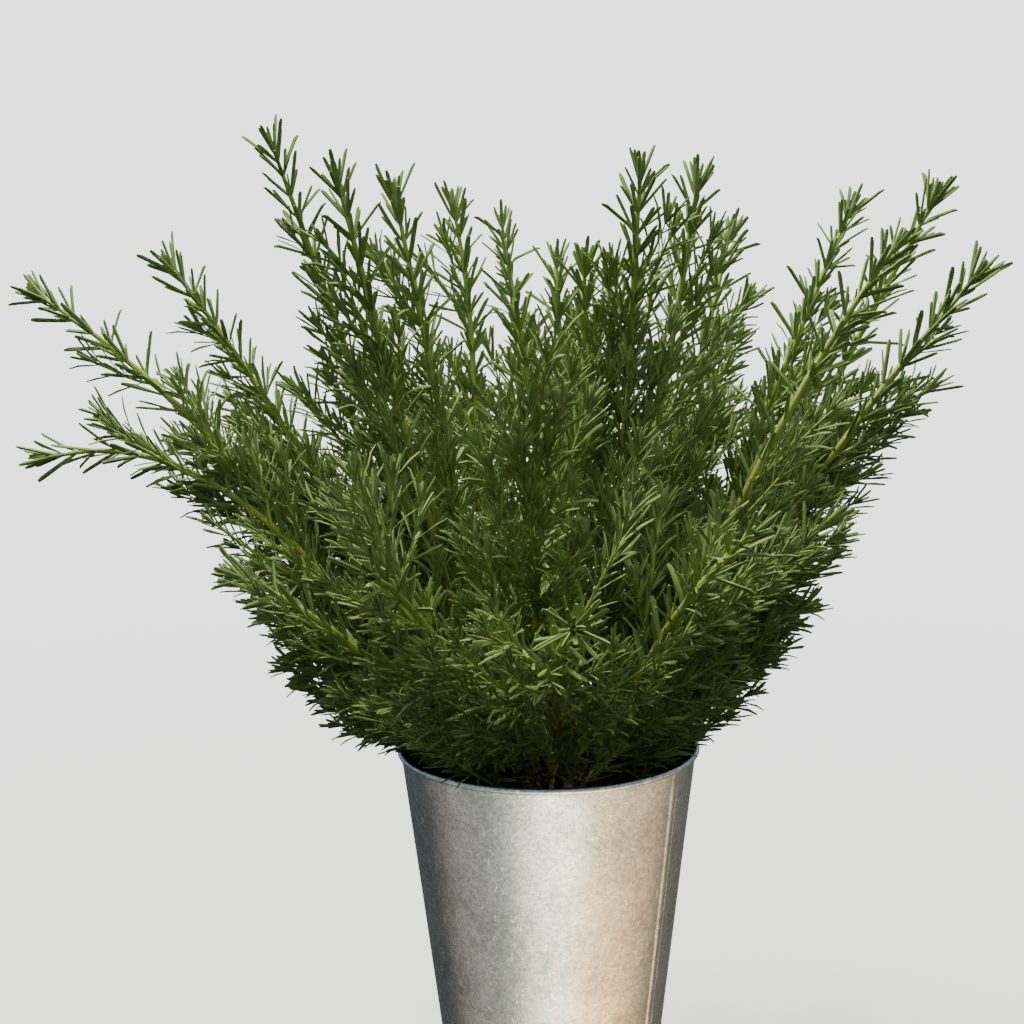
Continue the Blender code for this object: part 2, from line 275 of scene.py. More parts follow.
def potting_soil():
    """Peat and composted bark: near black when damp, with brown fibres and pale grit."""
    material, tree, shader = new_material("potting_compost")
    place = add(tree, "TexCoord").outputs["Object"]
    # crumbs 3 mm across, broken up into finer ones
    crumbs = add(
        tree, "TexNoise", {"Vector": place, "Scale": 320.0, "Detail": 8.0, "Roughness": 0.75}
    )
    brown = add(
        tree,
        "ValToRGB",
        {"Fac": crumbs.outputs["Fac"]},
        stops=[(0.30, "#120c08"), (0.52, "#2a1b11"), (0.66, "#4a3321"), (0.80, "#6d5439")],
    )
    tree.links.new(brown.outputs["Color"], shader.inputs["Base Color"])
    shader.inputs["Roughness"].default_value = 0.93
    bump = add(
        tree, "Bump", {"Height": crumbs.outputs["Fac"], "Strength": 0.7, "Distance": 0.0015}
    )
    tree.links.new(bump.outputs["Normal"], shader.inputs["Normal"])
    return material


LEAF_TONES = 16  # columns of the leaves' UV map, from dark to light: old to young leaves, and painted shade to painted light
TONE_SPREAD = 0.20  # how much the tone varies from leaf to leaf


def rosemary_leaf():
    """A rosemary leaf: leathery dark green above with a sunken middle line, darkened with
    painted shade, and rolled-under edges, a band of pale grey felt below on each side of a
    green midrib. The map's columns hold the tones, from dark to yellow-green: old to young
    leaves, random tone, and painted shade low in the bush and painted light high up."""
    material, tree, shader = new_material("rosemary_leaf_leathery")
    uv = add(tree, "UVMap", uv_map="OFBake").outputs["UV"]
    apart = add(tree, "SeparateXYZ", {"Vector": uv})
    column = add(
        tree, "Math", {0: apart.outputs["X"], 1: float(LEAF_TONES)}, operation="MULTIPLY"
    )
    tone = add(tree, "Math", {0: column.outputs[0]}, operation="FLOOR")
    round_leaf = add(tree, "Math", {0: column.outputs[0]}, operation="FRACT")
    # age is the column's tone: leaf age and random tone, and also painted shade low in the bush
    # and painted light high up and on the back shoots
    age = add(tree, "Math", {0: tone.outputs[0], 1: float(LEAF_TONES - 1)}, operation="DIVIDE")
    along = apart.outputs["Y"]
    # green of the upper side, by the column's tone: leaf age, random tone, and painted light
    # and shade
    green = add(
        tree,
        "ValToRGB",
        {"Fac": age.outputs[0]},
        stops=[
            (0.0, "#080e05"), (0.30, "#1d2a15"), (0.60, "#324524"), (0.82, "#506a36"),
            (1.0, "#80985a"),
        ],
    )
    felt = add(
        tree,
        "ValToRGB",
        {"Fac": age.outputs[0]},
        stops=[(0.0, "#1a2216"), (0.5, "#5a694e"), (1.0, "#879a72")],
    )
    # across the upper half (0 to 0.5): edges light, crowns full, and the sunken middle line
    # darkened with painted shade in its groove
    across = add(
        tree,
        "ValToRGB",
        {"Fac": round_leaf.outputs[0]},
        stops=[
            (0.00, 0.78), (0.06, 0.52), (0.20, 0.50), (0.25, 0.24), (0.30, 0.50),
            (0.44, 0.52), (0.50, 0.78),
        ],
    )
    shade = add(
        tree,
        "Mix",
        {0: 0.55, 6: green.outputs["Color"], 7: across.outputs["Color"]},
        data_type="RGBA",
        blend_type="OVERLAY",
    )
    # across the lower half (0.5 to 1): green rolled edge, felt, midrib, felt, rolled edge
    lower = add(
        tree,
        "ValToRGB",
        {"Fac": round_leaf.outputs[0]},
        stops=[
            (0.500, 0.0), (0.505, 0.15), (0.62, 0.15), (0.65, 0.9), (0.72, 0.9), (0.75, 0.2),
            (0.78, 0.9), (0.85, 0.9), (0.88, 0.15), (1.0, 0.15),
        ],
    )
    sided = add(
        tree,
        "Mix",
        {0: lower.outputs["Color"], 6: shade.outputs[2], 7: felt.outputs["Color"]},
        data_type="RGBA",
    )
    # the leaf pales to yellow-green where it joins the stem
    joint = add(
        tree, "ValToRGB", {"Fac": along}, stops=[(0.0, 0.60), (0.04, 0.32), (0.14, 0.0)]
    )
    footed = add(
        tree,
        "Mix",
        {0: joint.outputs["Color"], 6: sided.outputs[2], 7: linear("#8b9a55")},
        data_type="RGBA",
    )
    # mottling along the blade, 2 to 3 mm
    cells = add(tree, "CombineXYZ", {"X": column.outputs[0], "Y": along, "Z": tone.outputs[0]})
    fleck = add(
        tree, "TexNoise", {"Vector": cells.outputs["Vector"], "Scale": 9.0, "Detail": 3.0}
    )
    flecked = add(
        tree,
        "Mix",
        {0: 0.28, 6: footed.outputs[2], 7: fleck.outputs["Fac"]},
        data_type="RGBA",
        blend_type="OVERLAY",
    )
    tree.links.new(flecked.outputs[2], shader.inputs["Base Color"])
    shader.inputs["Roughness"].default_value = 0.50
    shader.inputs["IOR"].default_value = 1.45
    shader.inputs["Specular IOR Level"].default_value = 0.05
    return material


STEM_COLUMNS = 8  # columns of the stems' UV map


def rosemary_stem():
    """A rosemary stem: square, downy and yellow-green when young, then straw brown, and
    reddish brown with split bark at the foot. The map's height holds the age."""
    material, tree, shader = new_material("rosemary_stem_woody_to_green")
    uv = add(tree, "UVMap", uv_map="OFBake").outputs["UV"]
    apart = add(tree, "SeparateXYZ", {"Vector": uv})
    youth = apart.outputs["Y"]
    skin = add(
        tree,
        "ValToRGB",
        {"Fac": youth},
        stops=[
            (0.0, "#3a2019"), (0.18, "#5a3222"), (0.30, "#8a6432"), (0.40, "#ab9543"),
            (0.60, "#9ba548"), (1.0, "#9db65a"),
        ],
    )
    # bark: fine lines that run up the stem, 0.2 to 0.6 mm apart
    lines = add(tree, "Mapping", {"Vector": uv, "Scale": (220.0, 30.0, 1.0)})
    bark = add(
        tree, "TexNoise", {"Vector": lines.outputs["Vector"], "Scale": 1.0, "Detail": 4.0}
    )
    streaked = add(
        tree,
        "Mix",
        {0: 0.75, 6: skin.outputs["Color"], 7: bark.outputs["Fac"]},
        data_type="RGBA",
        blend_type="OVERLAY",
    )
    # down: whitish hairs, thickest on the young stem
    down = add(tree, "TexNoise", {"Vector": uv, "Scale": 160.0, "Detail": 2.0})
    hairy = add(
        tree, "ValToRGB", {"Fac": down.outputs["Fac"]}, stops=[(0.46, 0.0), (0.70, 0.55)]
    )
    hairs = add(tree, "Math", {0: hairy.outputs["Color"], 1: youth}, operation="MULTIPLY")
    downy = add(
        tree,
        "Mix",
        {0: hairs.outputs[0], 6: streaked.outputs[2], 7: linear("#c6cba8")},
        data_type="RGBA",
    )
    tree.links.new(downy.outputs[2], shader.inputs["Base Color"])
    shader.inputs["Roughness"].default_value = 0.62
    shader.inputs["Specular IOR Level"].default_value = 0.08
    return material


# ---------------------------------------------------------------- bucket

ROUND_STEPS = 168
SEAM_STEPS = 20
SEAM_SPAN = math.radians(9)  # the part of the round that is stepped finely for the seam
SHEET = 0.8 * MM
CURL_STEPS = 22
CURL_TURN = math.radians(292)
WALL_ROWS = 40
SEAM_ANGLE = math.radians(-36)
SEAM_HALF = 4.5 * MM  # half its width
BEAD = (1.4 * MM, 2.1 * MM)  # the rolled bead's half depth and half height
WIRE_RADIUS = 0.75 * MM
WIRE_SIDES = 12
DENT = 0.45 * MM  # the deepest dents in the wall
RIM_WAVE = 0.7 * MM  # the most that the rim dips
KNOCK = (0.15, 0.35)  # where round the rim it was once knocked, and over how much, in radians


def wall_line():
    """The wall's outside radius at the foot, and the rim's outer radius and height."""
    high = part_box("bucket_wall")[1]
    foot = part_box("bucket_base")[1].x + 1.4 * MM
    return foot, high.x, high.z


def dent(angle, z):
    """How far the thin sheet bulges out at this place, from handling."""
    round_place = Vector((math.cos(angle) * 1.6, math.sin(angle) * 1.6, z * 7.0))
    return DENT * noise.noise(round_place)


def rim_wave(angle):
    """How far the rim dips at this angle: most where it was knocked, at the right."""
    apart = (angle + math.pi) % math.tau - math.pi - KNOCK[0]
    knock = math.exp(-((apart / KNOCK[1]) ** 2))
    ripple = noise.noise(Vector((math.cos(angle) * 3, math.sin(angle) * 3, 0)))
    return RIM_WAVE * (0.35 * ripple - knock)


def spun(points, closed, fine_angle=SEAM_ANGLE):
    """Spins (radius, z) points, drawn as edges in XZ, once round Z, in finer steps round
    the seam."""
    bm = bmesh.new()
    verts = [bm.verts.new((radius, 0.0, z)) for radius, z in points]
    ends = verts[1:] + verts[:1] if closed else verts[1:]
    for start, end in zip(verts, ends):
        bm.edges.new((start, end))
    start = fine_angle + SEAM_SPAN / 2
    bmesh.ops.rotate(
        bm, verts=bm.verts[:], cent=(0, 0, 0), matrix=Matrix.Rotation(start, 3, "Z")
    )
    geom = bm.verts[:] + bm.edges[:]
    for angle, steps in ((math.tau - SEAM_SPAN, ROUND_STEPS), (SEAM_SPAN, SEAM_STEPS)):
        made = bmesh.ops.spin(
            bm, geom=geom, cent=(0, 0, 0), axis=(0, 0, 1), angle=angle, steps=steps
        )
        geom = made["geom_last"]
    bmesh.ops.remove_doubles(bm, verts=bm.verts[:], dist=0.01 * MM)
    bmesh.ops.recalc_face_normals(bm, faces=bm.faces[:])
    return bm


def sheet_section(foot, rim_out, top):
    """The sheet's section: up the wall, then rolled outwards round the rim wire into a bead
    that is taller than it is deep."""
    half = SHEET / 2
    curl, tall = BEAD
    curl_z = top - tall - half
    wall_top = rim_out - half - 2 * curl
    path = []
    for row in range(WALL_ROWS):
        share = row / WALL_ROWS
        radius = foot - half + (wall_top - foot + half) * share
        path.append(Vector((radius, curl_z * share)))
    centre = Vector((wall_top + curl, curl_z))
    for step in range(CURL_STEPS + 1):
        angle = math.pi - CURL_TURN * step / CURL_STEPS
        path.append(centre + Vector((curl * math.cos(angle), tall * math.sin(angle))))
    outer, inner = [], []
    for index, point in enumerate(path):
        along = path[min(index + 1, len(path) - 1)] - path[max(index - 1, 0)]
        side = Vector((along.y, -along.x)).normalized() * half
        outer.append(point + side)
        inner.append(point - side)
    outer[0].y = inner[0].y = 0.0
    return outer + inner[::-1], centre


def seam_height(offset, z, top):
    """Height of the folded seam at this distance across it: a crisp lip, then a soft slope."""
    if abs(offset) > SEAM_HALF + 0.6 * MM or z > top - 7 * MM:
        return 0.0
    if offset < -SEAM_HALF + 0.5 * MM:
        rise = (offset + SEAM_HALF + 0.6 * MM) / (1.1 * MM)
    else:
        rise = min(1.0, (SEAM_HALF + 0.6 * MM - offset) / (1.6 * MM))
    groove = math.exp(-(((offset - 1.6 * MM) / (0.7 * MM)) ** 2))
    return 0.8 * MM * max(0.0, min(1.0, rise)) - 0.35 * MM * groove


def make_bucket(steel, wire_steel):
    """The seamed and slightly dented wall, the wire in its rim, and the pressed floor."""
    foot, rim_out, top = wall_line()
    section, curl_centre = sheet_section(foot, rim_out - 0.2 * MM, top)
    bm = spun(section, closed=True)
    wall_top = section[WALL_ROWS - 1]
    for vert in bm.verts:
        angle = math.atan2(vert.co.y, vert.co.x)
        radius = math.hypot(vert.co.x, vert.co.y)
        outwards = Vector((math.cos(angle), math.sin(angle), 0.0))
        share = min(vert.co.z / top, 1.0)
        middle = foot + (wall_top.x - foot) * vert.co.z / wall_top.y - SHEET / 2
        push = dent(angle, vert.co.z) * math.sin(math.pi * share) ** 0.5
        if radius > middle and vert.co.z < wall_top.y:
            turn = (angle - SEAM_ANGLE + math.pi) % math.tau - math.pi
            push += seam_height(turn * radius, vert.co.z, top)
        vert.co += outwards * push
        near_rim = max(0.0, (vert.co.z - top + 30 * MM) / (30 * MM))
        vert.co.z += rim_wave(angle) * near_rim
    mesh = finished(bm, "bucket_shell")
    smooth(mesh, 40)
    add_piece("bucket_shell", mesh, steel, "galvanised_steel", "bucket_wall")

    turns = [math.tau * side / WIRE_SIDES for side in range(WIRE_SIDES)]
    ring = [curl_centre + WIRE_RADIUS * Vector((math.cos(t), math.sin(t))) for t in turns]
    bm = spun(ring, closed=True)
    for vert in bm.verts:
        vert.co.z += rim_wave(math.atan2(vert.co.y, vert.co.x))
    mesh = finished(bm, "rolled_rim_wire")
    smooth(mesh)
    add_piece("rolled_rim_wire", mesh, wire_steel, "rim_wire_steel", "rim_wire")

    low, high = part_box("bucket_base")
    radius = high.x
    # a pressed disc: flat where it stands, with a shallow ring pressed up near its edge
    points = [
        (0.0, low.z),
        (radius * 0.55, low.z),
        (radius - 9 * MM, low.z),
        (radius - 8 * MM, low.z + 0.5 * MM),
        (radius - 5 * MM, low.z + 0.5 * MM),
        (radius - 4 * MM, low.z),
        (radius - 0.3 * MM, low.z),
        (radius, low.z + 0.3 * MM),
        (radius, high.z - 0.3 * MM),
        (radius - 0.3 * MM, high.z),
        (0.0, high.z),
    ]
    mesh = finished(spun(points, closed=False), "bucket_floor")
    smooth(mesh, 30)
    add_piece("bucket_floor", mesh, steel, "galvanised_steel", "bucket_base")


# ---------------------------------------------------------------- soil

SOIL_MOUND = 4 * MM  # how much higher the soil is in the middle
SOIL_LUMPS = 2.2 * MM  # how high its lumps stand
SOIL_SUNK = 2 * MM  # how far the fine soil lies under the plain block's surface
CRUMBS = 900


def soil_height(x, y, edge, radius):
    """Height of the crumbly surface at this place."""
    share = min(math.hypot(x, y) / radius, 1.0)
    place = Vector((x, y, 0.0))
    lumps = noise.fractal(place * 60, 0.9, 2.1, 5) * SOIL_LUMPS
    return edge + SOIL_MOUND * (1 - share**2) + lumps * (1 - share**8) - SOIL_SUNK


def make_soil(earth, chance):
    """The lumpy soil, and loose crumbs strewn over it."""
    low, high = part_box("soil")
    radius = high.x
    edge = high.z - SOIL_MOUND
    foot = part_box("bucket_base")[1].x
    rings = 34
    points = [(0.0, low.z), (foot - 0.5 * MM, low.z), (radius, edge)]
    points += [(radius * (1 - k / rings), edge) for k in range(1, rings)]
    points.append((0.0, edge))
    bm = spun(points, closed=False, fine_angle=0.0)
    for vert in bm.verts:
        if vert.co.z > edge - 0.1 * MM:
            vert.co.z = soil_height(vert.co.x, vert.co.y, edge, radius)
    mesh = finished(bm, "compost")
    smooth(mesh)
    add_piece("compost", mesh, earth, "potting_soil", "soil")

    bm = bmesh.new()
    bmesh.ops.create_icosphere(bm, subdivisions=1, radius=1.0)
    crumb = finished(bm, "crumb")
    shape = points_of(crumb)
    heap = bmesh.new()
    for _ in range(CRUMBS):
        reach = (radius - 3 * MM) * math.sqrt(chance.random())
        angle = chance.uniform(0, math.tau)
        size = chance.uniform(0.8, 2.6) * MM
        x, y = reach * math.cos(angle), reach * math.sin(angle)
        z = soil_height(x, y, edge, radius)
        stretch = np.array([chance.uniform(0.6, 1.6), chance.uniform(0.6, 1.2), 0.7])
        uneven = 1 + 0.35 * np.array([chance.uniform(-1, 1) for _ in shape])
        turn = np.array(Quaternion((0, 0, 1), chance.uniform(0, math.tau)).to_matrix())
        placed = (shape * uneven[:, None] * stretch * size) @ turn.T + (x, y, z + 0.2 * size)
        crumb.vertices.foreach_set("co", placed.astype(np.float32).ravel())
        heap.from_mesh(crumb)
    add_piece("compost_crumbs", finished(heap, "compost_crumbs"), earth, "potting_soil")


# ---------------------------------------------------------------- shoots


class Shoot:
    """A stem's middle line with a frame at each point, from its foot to its tip."""

    def __init__(self, points, foot_radius, tip_radius, old, young):
        self.points = points
        self.foot_radius = foot_radius
        self.tip_radius = tip_radius
        self.old = old  # age on the stem's colour map at the foot, 0 woody to 1 fresh
        self.young = young  # and at the tip
        steps = np.linalg.norm(np.diff(points, axis=0), axis=1)
        self.reach = np.concatenate([[0.0], np.cumsum(steps)])
        self.length = self.reach[-1]
        self.along = unit(np.gradient(points, axis=0))
        first = np.cross(self.along[0], (0.31, 0.95, 0.05))
        sides = [unit(first)]
        for along in self.along[1:]:
            side = sides[-1] - along * (sides[-1] @ along)
            sides.append(unit(side))
        self.side = np.array(sides)

    def at(self, reach):
        """Point, direction, side and radius at this distance from the foot."""
        point, along, side = self.between(reach)
        return point, unit(along), unit(side), self.radius(reach / self.length)

    def between(self, reach):
        """Point, direction and side at one distance or many, read between the points."""
        return [
            np.array([np.interp(reach, self.reach, rows[:, k]) for k in range(3)]).T
            for rows in (self.points, self.along, self.side)
        ]

    def radius(self, share):
        """Half the stem's thickness at this share of its length; it closes in at the tip."""
        taper = 1 - 0.4 * share**12
        return (self.foot_radius + (self.tip_radius - self.foot_radius) * share**1.3) * taper


def cad_rings(node):
    """Middle point and radius of each ring of a CAD stem, from its foot to its tip."""
    points = points_of(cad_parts[node].data)
    foot = points[points[:, 2].argmin()]
    tip = points[np.linalg.norm(points - foot, axis=1).argmax()]
    height = (points - foot) @ unit(tip - foot)
    order = height.argsort()
    gaps = np.diff(height[order]) > 6 * MM
    rings = np.split(points[order], np.nonzero(gaps)[0] + 1)
    middles = np.array([(ring.min(0) + ring.max(0)) / 2 for ring in rings])
    radii = [
        np.linalg.norm(ring - middle, axis=1).max() for ring, middle in zip(rings, middles)
    ]
    return middles, radii


def smooth_line(knots, spacing):
    """A smooth curve through the knots, as points about this far apart."""
    padded = np.vstack([2 * knots[0] - knots[1], knots, 2 * knots[-1] - knots[-2]])
    line = []
    for before, start, end, after in zip(padded, padded[1:], padded[2:], padded[3:]):
        count = max(int(np.linalg.norm(end - start) / spacing), 2)
        for step in range(count):
            t = step / count
            line.append(
                0.5
                * (
                    2 * start
                    + (end - before) * t
                    + (2 * before - 5 * start + 4 * end - after) * t**2
                    + (3 * start - before - 3 * end + after) * t**3
                )
            )
    line.append(knots[-1])
    return np.array(line)


RIM_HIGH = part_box("bucket_wall")[1]
RIM_TOP = RIM_HIGH.z
INSIDE = RIM_HIGH.x - 4.5 * MM  # room inside the rolled rim
OUTSIDE = RIM_HIGH.x + 1.5 * MM
HANG = 60 * MM  # how far below the rim leaves may hang outside the bucket
ROOM_SHARE, ROOM_PAST = 1.02, 8 * MM  # how far past the CAD box the leaves may stand


def clear_of_bucket(points, margin):
    """Whether these points stay clear of the bucket's wall and rim, and hang no lower."""
    reach = np.hypot(points[:, 0], points[:, 1])
    low = points[:, 2] < RIM_TOP + margin
    wall = (reach > INSIDE - margin) & (reach < OUTSIDE + margin)
    under = (reach >= OUTSIDE + margin) & (points[:, 2] < RIM_TOP - HANG)
    return not (low & (wall | under)).any()


def inside_cad_box(points):
    """Whether these points stay in the CAD's box and the little room round it."""
    middle = (np.array(CAD_LOW) + np.array(CAD_HIGH)) / 2
    half = (np.array(CAD_HIGH) - np.array(CAD_LOW)) / 2 * ROOM_SHARE + ROOM_PAST
    return (np.abs(points - middle) < half).all()


# how far from the bush's middle line a side shoot and its leaves may reach, by height: the
# low ones are kept in by the rim and by the shade of the taller shoots above
SPREAD_HEIGHTS = (0.33, 0.37, 0.41, 0.45, 0.52, 0.60, 0.70)
SPREAD_REACHES = (0.120, 0.170, 0.208, 0.226, 0.262, 0.34, 0.45)
RIGHT_TIGHTER = 22 * MM  # the bush is this much narrower to the right
LEAF_ROOM = 6 * MM  # kept free round a side shoot for its leaves


def within_spread(points):
    """Whether these points leave their leaves room inside the bush's outline."""
    reach = np.hypot(points[:, 0], points[:, 1]) + RIGHT_TIGHTER * (points[:, 0] > 0)
    limit = np.interp(points[:, 2], SPREAD_HEIGHTS, SPREAD_REACHES) - LEAF_ROOM
    return (reach < limit).all()


FAN_CENTRE = np.array([0.0, 0.0, 0.26])  # side shoots curve to point away from here
FAN_SPREAD = np.array([1.0, 0.45, 1.0])  # and the bush is wider than it is deep


def branch(parent, reach, turn, lean, length, lift, chance):
    """A side shoot that leaves its parent at this place and curves up and outwards, or None
    if it has no room."""
    start, along, side, radius = parent.at(reach)
    third = np.cross(along, side)
    outwards = side * math.cos(turn) + third * math.sin(turn)
    heading = unit(along * math.cos(lean) + outwards * math.sin(lean))
    steps = 12
    points = [start + outwards * radius * 0.4]
    wander = np.array([chance.uniform(-1, 1) for _ in range(3)]) * 0.15
    for step in range(steps):
        share = (step + 1) / steps
        fan = unit((points[-1] - FAN_CENTRE) * FAN_SPREAD)
        pull = fan * lift * share + wander * math.sin(3 * share)
        points.append(points[-1] + unit(heading + pull) * length / steps)
    points = np.array(points)
    if not (clear_of_bucket(points[1:], 4 * MM) and within_spread(points)):
        return None
    foot = max(radius * 0.55, 0.75 * MM)
    youth = np.interp(reach / parent.length, (0, 1), (parent.old, parent.young))
    return Shoot(points, foot, 0.58 * MM, min(youth + 0.25, 0.8), 1.0)


# ---------------------------------------------------------------- leaves

# A leaf's section, as (across, up) with a half width of 1: edge, crown, sunken middle line,
# crown, edge, and the two rolled-under margins; and its outline, as (share of its length,
# width)
LEAF_SECTION = [
    (-1.0, -0.04), (-0.62, 0.52), (0.0, 0.24), (0.62, 0.52),
    (1.0, -0.04), (0.56, -0.56), (-0.56, -0.56),
]
LEAF_OUTLINE = [(0.0, 0.45), (0.25, 0.95), (0.88, 0.96), (1.0, 0.58)]
# a small leaf shows less of its form: edge, top, edge, underside
SMALL_SECTION = [(-1.0, 0.0), (0.0, 0.50), (1.0, 0.0), (0.0, -0.62)]
SMALL_OUTLINE = [(0.0, 0.50), (0.70, 1.0), (1.0, 0.64)]


class LeafPattern:
    """One leaf, one long and one in half width, along +Y: a mesh for each tone."""

    def __init__(self, name, section, blade):
        bm = bmesh.new()
        sides = len(section)
        ring = [bm.verts.new((x, 0.0, z)) for x, z in section]
        foot = bm.faces.new(ring)
        edges = list(foot.edges)
        uv = bm.loops.layers.uv.new("OFBake")
        bmesh.ops.scale(bm, vec=(blade[0][1], 1, blade[0][1]), verts=bm.verts[:])
        for (low, narrow), (high, wide) in zip(blade, blade[1:]):
            edges, verts = extrude_ring(bm, edges)
            bmesh.ops.scale(bm, vec=(wide / narrow, 1, wide / narrow), verts=verts)
            bmesh.ops.translate(bm, vec=(0, high - low, 0), verts=verts)
        bmesh.ops.holes_fill(bm, edges=edges, sides=sides)
        bmesh.ops.recalc_face_normals(bm, faces=bm.faces[:])
        for face in bm.faces:
            middle = face.calc_center_median()
            for loop in face.loops:
                loop[uv].uv = (self.round_place(loop.vert.co, middle, blade), loop.vert.co.y)
        mesh = finished(bm, name)
        self.shape = points_of(mesh)
        places = places_of(mesh)
        self.meshes = []
        for tone in range(LEAF_TONES):
            toned = mesh.copy()
            moved = places.copy()
            moved[:, 0] = (tone + 0.01 + 0.98 * moved[:, 0]) / LEAF_TONES
            moved[:, 1] = 0.01 + 0.98 * moved[:, 1]
            toned.uv_layers["OFBake"].uv.foreach_set("vector", moved.ravel())
            self.meshes.append(toned)

    def round_place(self, point, middle, blade):
        """Where a corner lies round the leaf: 0 to 0.5 across the top, 0.5 to 1 below."""
        width = np.interp(point.y, *zip(*blade))
        across = max(-1.0, min(1.0, point.x / width))
        height = middle.z / width
        if height > -0.15:
            return (across + 1) / 4
        return 0.5 + (1 - across) / 4

    def place(self, heap, root, along, face_up, length, half_width, curl, roll, twist, tone):
        """Adds one leaf to the heap: curl bends it away from the side that faces up, roll
        and twist turn it about its own length."""
        side = unit(np.cross(along, face_up))
        up = np.cross(side, along)
        y = self.shape[:, 1]
        turn = roll + twist * y
        x = self.shape[:, 0] * half_width
        z = self.shape[:, 2] * half_width
        across = x * np.cos(turn) - z * np.sin(turn)
        height = x * np.sin(turn) + z * np.cos(turn)
        bend = curl * y
        if abs(curl) > 1e-3:
            ahead = np.sin(bend) / curl * length
            down = (1 - np.cos(bend)) / curl * length
        else:
            ahead, down = y * length, y * 0
        ahead = ahead + height * np.sin(bend)
        lift = -down + height * np.cos(bend)
        placed = (
            root + np.outer(ahead, along) + np.outer(across, side) + np.outer(lift, up)
        )
        if not clear_of_bucket(placed, 0.6 * MM) or not inside_cad_box(placed):
            return
        mesh = self.meshes[tone]
        mesh.vertices.foreach_set("co", placed.astype(np.float32).ravel())
        heap.from_mesh(mesh)


def leaf_tone(base, chance):
    """The colour map's column nearest this tone, give or take."""
    tone = round((base + chance.gauss(0, TONE_SPREAD)) * (LEAF_TONES - 1))
    return max(0, min(LEAF_TONES - 1, tone))


TIP_PALER = 0.18  # how much paler leaves are near a tip
BUD_PALER = 0.36  # and round the bud itself
CORNER_PALER = 0.06  # and in the corners of others
TIP_LEAN = 0.42  # how far leaves lean out near a tip, in radians
SPIRAL = 2.4  # radians from each leaf round a bud to the next
# painted light and shade: leaves are painted darker low in the bush, where the taller shoots
# above shade them, and lighter high up, where the light falls
PAINTED_LIGHT_HEIGHTS = (0.36, 0.44, 0.50, 0.64, 0.80)
PAINTED_LIGHT_TONES = (-0.60, -0.44, -0.10, 0.26, 0.50)
INNER_TOP = 0.62  # below this the main stems keep thick clusters of old leaves


def clothe(shoot, heap, patterns, chance, style):
    """Sets leaves in crossed pairs, with smaller ones in their corners, up a shoot."""
    full, small = patterns
    reach = style["bare"]
    order = 0
    while reach < shoot.length:
        near_tip = math.exp(-(shoot.length - reach) / style["tuft"])
        start, along, side, radius = shoot.at(reach)
        third = np.cross(along, side)
        for pair in (0, math.pi):
            spin = (order % 2) * math.pi / 2 + pair + style["spiral"] * order
            spin += chance.gauss(0, 0.2)
            extra = style["extra_low"] if start[2] < INNER_TOP else style["extra"]
            for which in range(1 + extra):
                if which and chance.random() > style["fill"]:
                    continue
                turn = spin
                inner = which and start[2] < INNER_TOP
                size = chance.uniform(0.85, 1.15)
                lean = style["lean"] + (TIP_LEAN - style["lean"]) * near_tip
                lean *= chance.uniform(0.75, 1.3)
                curl = chance.gauss(style["curl"], 0.25)
                tone = style["tone"] + TIP_PALER * near_tip
                # painted shade low in the bush and painted light near its top, by height
                tone += np.interp(start[2], PAINTED_LIGHT_HEIGHTS, PAINTED_LIGHT_TONES)
                if which:
                    turn += chance.choice((-1, 1)) * chance.uniform(0.35, 1.1)
                    size *= chance.uniform(0.60, 1.0) if inner else chance.uniform(0.45, 0.88)
                    lean *= chance.uniform(0.55, 1.0)
                    curl *= 0.5
                    tone += CORNER_PALER
                outwards = side * math.cos(turn) + third * math.sin(turn)
                heading = unit(along * math.cos(lean) + outwards * math.sin(lean))
                face_up = unit(along * math.sin(lean) - outwards * math.cos(lean))
                length = style["leaf"] * size
                width = style["half_width"] * chance.uniform(0.8, 1.1)
                pattern = full if length > style["full_from"] and not inner else small
                pattern.place(
                    heap,
                    start + outwards * radius * 0.7,
                    heading,
                    face_up,
                    length,
                    width * (0.6 + 0.4 * min(size, 1)),
                    curl,
                    chance.gauss(0, 0.5),
                    chance.gauss(0, 0.4),
                    leaf_tone(tone, chance),
                )
        gap = style["gap"] + (style["tip_gap"] - style["gap"]) * near_tip
        reach += gap * chance.uniform(0.85, 1.15)
        order += 1
    # the tuft at the very tip: upright young leaves round the bud
    start, along, side, _ = shoot.at(shoot.length)
    third = np.cross(along, side)
    # the bud's leaves are paler as young growth, and take the same painted light and shade by
    # height
    bud_tone = style["tone"] + BUD_PALER + np.interp(start[2], PAINTED_LIGHT_HEIGHTS, PAINTED_LIGHT_TONES)
    for number in range(style["bud"]):
        turn = number * SPIRAL + chance.uniform(-0.3, 0.3)
        outwards = side * math.cos(turn) + third * math.sin(turn)
        share = (number + 0.5) / style["bud"]
        lean = 0.06 + 0.34 * share
        heading = unit(along * math.cos(lean) + outwards * math.sin(lean))
        face_up = unit(along * math.sin(lean) - outwards * math.cos(lean))
        length = style["leaf"] * (0.50 + 0.50 * share) * chance.uniform(0.85, 1.12)
        full.place(
            heap,
            start - along * 2 * MM * share,
            heading,
            face_up,
            length,
            style["half_width"] * 0.86,
            0.25 * share,
            chance.gauss(0, 0.4),
            0.0,
            leaf_tone(bud_tone - 0.30 * share, chance),
        )


# ---------------------------------------------------------------- fine stems


